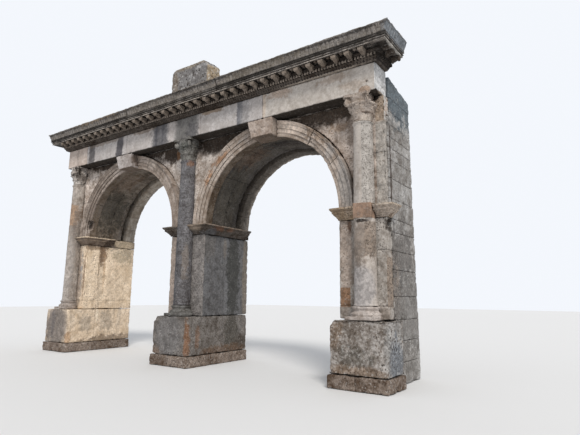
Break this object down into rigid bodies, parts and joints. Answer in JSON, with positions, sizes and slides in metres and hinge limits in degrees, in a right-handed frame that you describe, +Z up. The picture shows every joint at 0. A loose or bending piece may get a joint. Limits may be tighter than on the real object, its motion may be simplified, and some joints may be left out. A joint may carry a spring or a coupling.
{
  "type": "twin-arched city gate",
  "caption": "Ancient twin-arched stone city gate with engaged columns, moulded archivolts, frieze, dark projecting cornice and a lone attic block, ruined at its ends.",
  "frame": {"origin": "on the ground under the middle column's axis, in the plane of the front wall face", "axes": "+X along the front towards the right pier seen from outside, +Y into the gate, +Z up; the front faces -Y"},
  "size_m": [11.77, 2.51, 7.825],
  "materials": {
    "pale_limestone": "weathered, pitted",
    "warm_limestone": "weathered, pitted",
    "grey_limestone": "weathered, streaked",
    "black_crusted_limestone": "black crust, rough",
    "brown_limestone": "weathered, rough"
  },
  "bodies": {
    "root": {"left_foot_course": "brown_limestone", "middle_foot_course": "brown_limestone", "right_foot_course": "brown_limestone", "left_pedestal": "warm_limestone", "middle_pedestal": "grey_limestone", "right_pedestal": "pale_limestone", "left_pier": "warm_limestone", "middle_pier": "grey_limestone", "right_pier": "pale_limestone", "left_column_base": "pale_limestone", "middle_column_base": "grey_limestone", "right_column_base": "pale_limestone", "left_shaft": "pale_limestone", "middle_shaft": "grey_limestone", "right_shaft": "pale_limestone", "left_capital": "warm_limestone", "middle_capital": "grey_limestone", "right_capital": "warm_limestone", "left_impost": "brown_limestone", "middle_impost": "grey_limestone", "right_impost": "pale_limestone", "left_archivolt": "warm_limestone", "right_archivolt": "warm_limestone", "left_keystone": "warm_limestone", "right_keystone": "warm_limestone", "left_vault": "brown_limestone", "right_vault": "brown_limestone", "left_rear_arch": "grey_limestone", "right_rear_arch": "grey_limestone", "left_spandrel": "pale_limestone", "middle_spandrel": "pale_limestone", "right_spandrel": "pale_limestone", "frieze_left_end": "warm_limestone", "frieze_left": "pale_limestone", "frieze_middle": "grey_limestone", "frieze_right": "pale_limestone", "frieze_right_end": "warm_limestone", "bed_moulding": "black_crusted_limestone", "modillions": "black_crusted_limestone", "cornice_left": "black_crusted_limestone", "cornice_middle": "black_crusted_limestone", "cornice_right": "black_crusted_limestone", "attic_block": "grey_limestone", "left_flank": "pale_limestone", "right_flank": "pale_limestone"}
  },
  "joints": []
}
